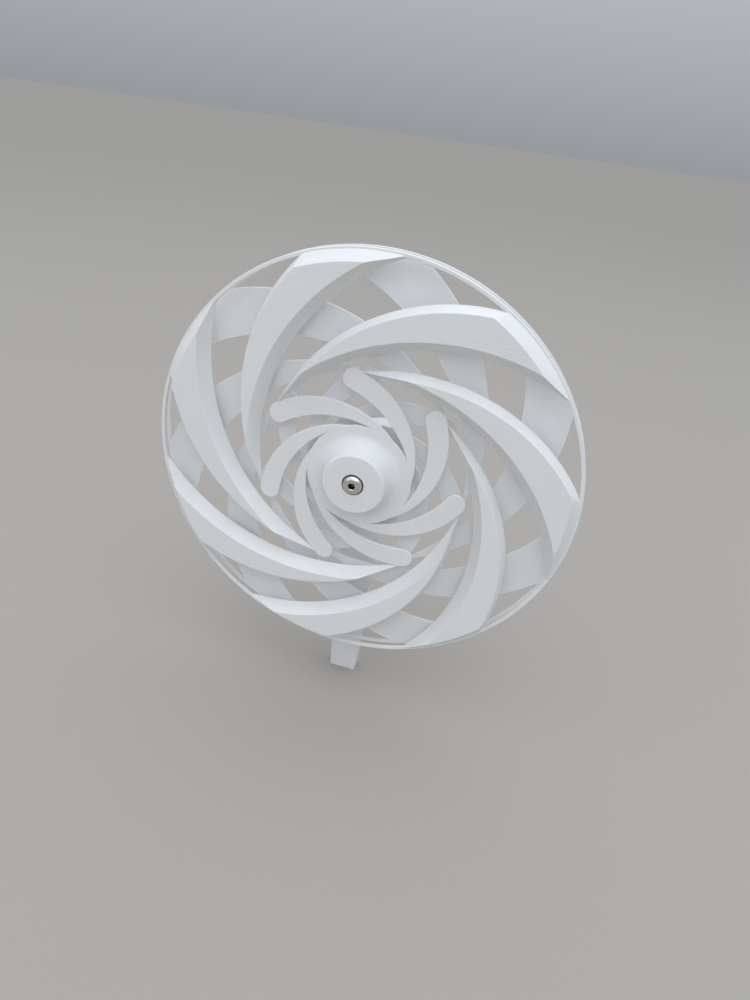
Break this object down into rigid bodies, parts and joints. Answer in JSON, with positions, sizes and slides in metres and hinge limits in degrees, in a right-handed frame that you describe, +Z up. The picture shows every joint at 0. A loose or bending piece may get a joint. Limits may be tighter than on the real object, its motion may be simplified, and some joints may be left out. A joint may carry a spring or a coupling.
{
  "type": "small wind turbine",
  "caption": "Garden wind spinner: two bladed wheels with opposite spirals turn on ball bearings on one axle screw at the top of a pointed ground stake.",
  "frame": {"origin": "on the stake's centre line at ground level, halfway through its thickness", "axes": "+Z up the stake to the axle, -Y to the front, where the visible wheel faces, +X to the right as seen from the front"},
  "size_m": [0.208, 0.0539, 0.331],
  "materials": {
    "white_plastic": "printed layers, satin",
    "stainless": "polished",
    "bearing_steel": "ground",
    "nylon": "satin"
  },
  "bodies": {
    "root": {"ground_stake": "white_plastic", "axle_screw": "stainless", "front_spacer": "stainless", "middle_spacer": "stainless", "rear_spacer": "stainless", "locknut": "stainless", "locknut_collar": "nylon", "front_bearing_inner_race": "bearing_steel", "rear_bearing_inner_race": "bearing_steel"},
    "front_rotor": {"front_rotor": "white_plastic", "front_bearing_outer_race": "bearing_steel", "front_bearing_shield_boss_side": "bearing_steel", "front_bearing_shield_flat_side": "bearing_steel"},
    "rear_rotor": {"rear_rotor": "white_plastic", "rear_bearing_outer_race": "bearing_steel", "rear_bearing_shield_boss_side": "bearing_steel", "rear_bearing_shield_flat_side": "bearing_steel"},
    "front_balls": {"front_bearing_cage": "bearing_steel", "front_bearing_ball_1": "bearing_steel", "front_bearing_ball_2": "bearing_steel", "front_bearing_ball_3": "bearing_steel", "front_bearing_ball_4": "bearing_steel", "front_bearing_ball_5": "bearing_steel", "front_bearing_ball_6": "bearing_steel", "front_bearing_ball_7": "bearing_steel"},
    "rear_balls": {"rear_bearing_cage": "bearing_steel", "rear_bearing_ball_1": "bearing_steel", "rear_bearing_ball_2": "bearing_steel", "rear_bearing_ball_3": "bearing_steel", "rear_bearing_ball_4": "bearing_steel", "rear_bearing_ball_5": "bearing_steel", "rear_bearing_ball_6": "bearing_steel", "rear_bearing_ball_7": "bearing_steel"}
  },
  "joints": [
    {"name": "front_rotor_spin", "type": "hinge", "parent": "root", "child": "front_rotor", "pos_m": [0, -0.0232, 0.142], "axis": [0, -1, 0], "continuous": true},
    {"name": "rear_rotor_spin", "type": "hinge", "parent": "root", "child": "rear_rotor", "pos_m": [0, -0.0193, 0.142], "axis": [0, -1, 0], "continuous": true},
    {"name": "front_balls_roll", "type": "hinge", "parent": "root", "child": "front_balls", "pos_m": [0, -0.02845, 0.142], "axis": [0, -1, 0], "continuous": true},
    {"name": "rear_balls_roll", "type": "hinge", "parent": "root", "child": "rear_balls", "pos_m": [0, -0.01405, 0.142], "axis": [0, -1, 0], "continuous": true}
  ],
  "couplings": [
    {"joint": "front_balls_roll", "follows": "front_rotor_spin", "ratio": 0.632},
    {"joint": "rear_balls_roll", "follows": "rear_rotor_spin", "ratio": 0.632}
  ]
}
